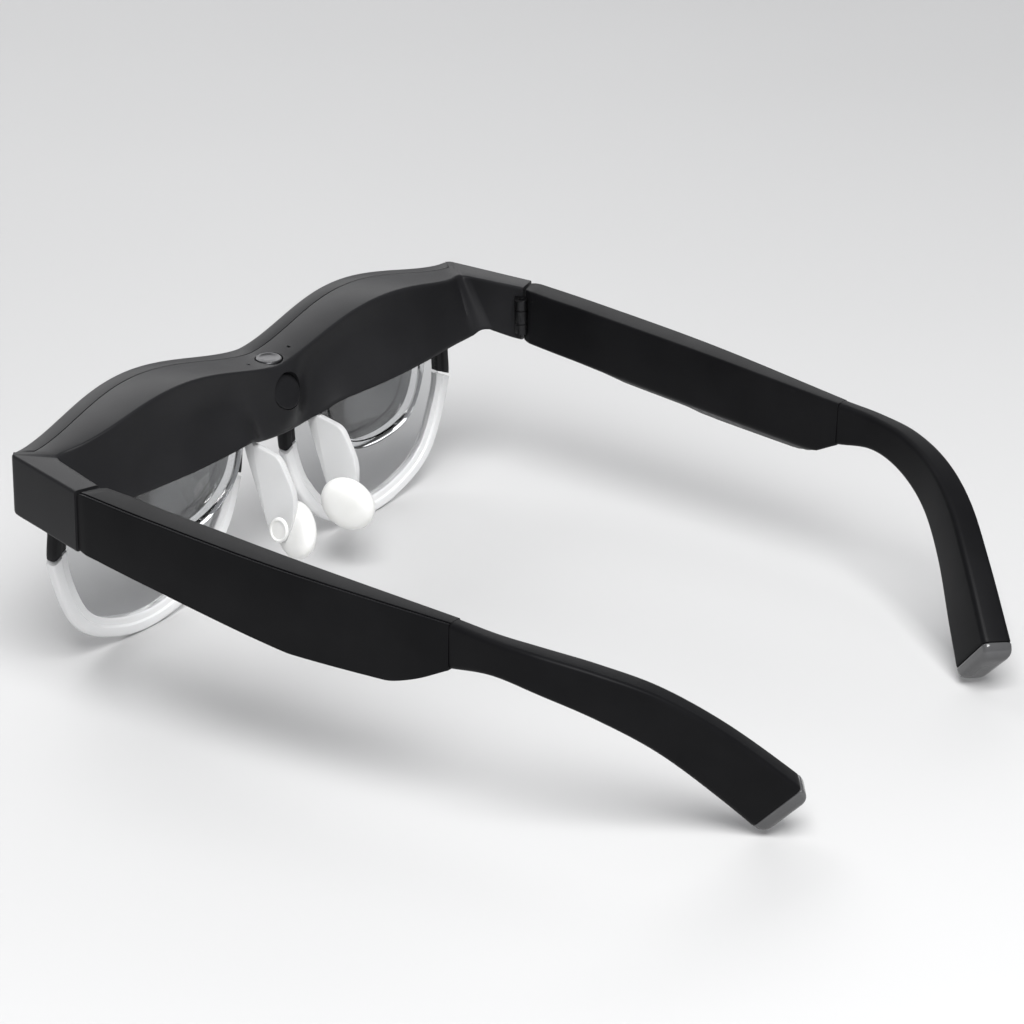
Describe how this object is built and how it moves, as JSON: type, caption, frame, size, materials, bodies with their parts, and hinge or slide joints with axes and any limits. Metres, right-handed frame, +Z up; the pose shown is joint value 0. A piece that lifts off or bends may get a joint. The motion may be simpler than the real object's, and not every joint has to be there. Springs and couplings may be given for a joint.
{
  "type": "smart glasses",
  "caption": "Display glasses with a deep wavy brow, clear round lower rims, optic blocks behind the lenses, silicone nose pads and folding temples.",
  "frame": {"origin": "middle of the bounding box, on the surface that the rims and the temple tips stand on", "axes": "+X to the wearer's left, +Y from the front of the glasses back to the temple tips, +Z up"},
  "size_m": [0.1576, 0.1892, 0.0612],
  "materials": {
    "satin_black": "fine satin moulded plastic",
    "clear_plastic": "polished clear plastic",
    "tinted_lens": "lightly grey tinted lens",
    "half_mirror": "thin half-mirror coating",
    "black_glass": "polished black",
    "silicone": "soft white silicone",
    "steel": "plain steel",
    "battery_wrap": "foil cell",
    "component_black": "moulded component",
    "grille_mesh": "perforated black metal",
    "smoked_gloss": "glossy smoked plastic",
    "button_metal": "grey anodised",
    "circuit_board": "solder mask"
  },
  "bodies": {
    "frame": {"rear_housing": "satin_black", "front_cover": "satin_black", "left_rim_stubs": "satin_black", "right_rim_stubs": "satin_black", "left_lower_rim": "clear_plastic", "right_lower_rim": "clear_plastic", "left_front_lens": "tinted_lens", "right_front_lens": "tinted_lens", "left_optic_block": "clear_plastic", "right_optic_block": "clear_plastic", "left_combiner": "half_mirror", "right_combiner": "half_mirror", "left_display": "black_glass", "right_display": "black_glass", "nose_bracket": "clear_plastic", "left_nose_pad": "silicone", "right_nose_pad": "silicone", "button_switch": "component_black", "microphones": "component_black", "sensor_board": "circuit_board", "bridge_window": "black_glass", "proximity_sensor": "black_glass", "main_board": "circuit_board", "left_hinge_leaf": "steel", "right_hinge_leaf": "steel", "left_hinge_pin": "steel", "right_hinge_pin": "steel"},
    "button": {"top_button": "button_metal"},
    "left_temple": {"left_temple_shell": "satin_black", "left_temple_cover": "satin_black", "left_speaker_grille": "grille_mesh", "left_temple_leaf": "steel", "left_hinge_screws": "steel", "left_battery": "battery_wrap", "left_speaker": "component_black", "left_tip_sleeve": "satin_black", "left_tip_core": "steel", "left_end_cap": "smoked_gloss", "touch_strip": "circuit_board"},
    "right_temple": {"right_temple_shell": "satin_black", "right_temple_cover": "satin_black", "right_speaker_grille": "grille_mesh", "right_temple_leaf": "steel", "right_hinge_screws": "steel", "right_battery": "battery_wrap", "right_speaker": "component_black", "right_tip_sleeve": "satin_black", "right_tip_core": "steel", "right_end_cap": "smoked_gloss"}
  },
  "joints": [
    {"name": "left_temple_fold", "type": "hinge", "parent": "frame", "child": "left_temple", "pos_m": [0.0726, -0.06545, 0.04655], "axis": [-0.0872, 0.0851, 0.9926], "range_deg": [0, 85]},
    {"name": "right_temple_fold", "type": "hinge", "parent": "frame", "child": "right_temple", "pos_m": [-0.0726, -0.06545, 0.04655], "axis": [-0.0872, -0.0851, -0.9926], "range_deg": [0, 72]},
    {"name": "button_press", "type": "slide", "parent": "frame", "child": "button", "axis": [0, -0.0854, -0.9963], "range_m": [0, 0.0004], "stiffness_N_per_m": 1500, "springref_m": -0.0004}
  ]
}
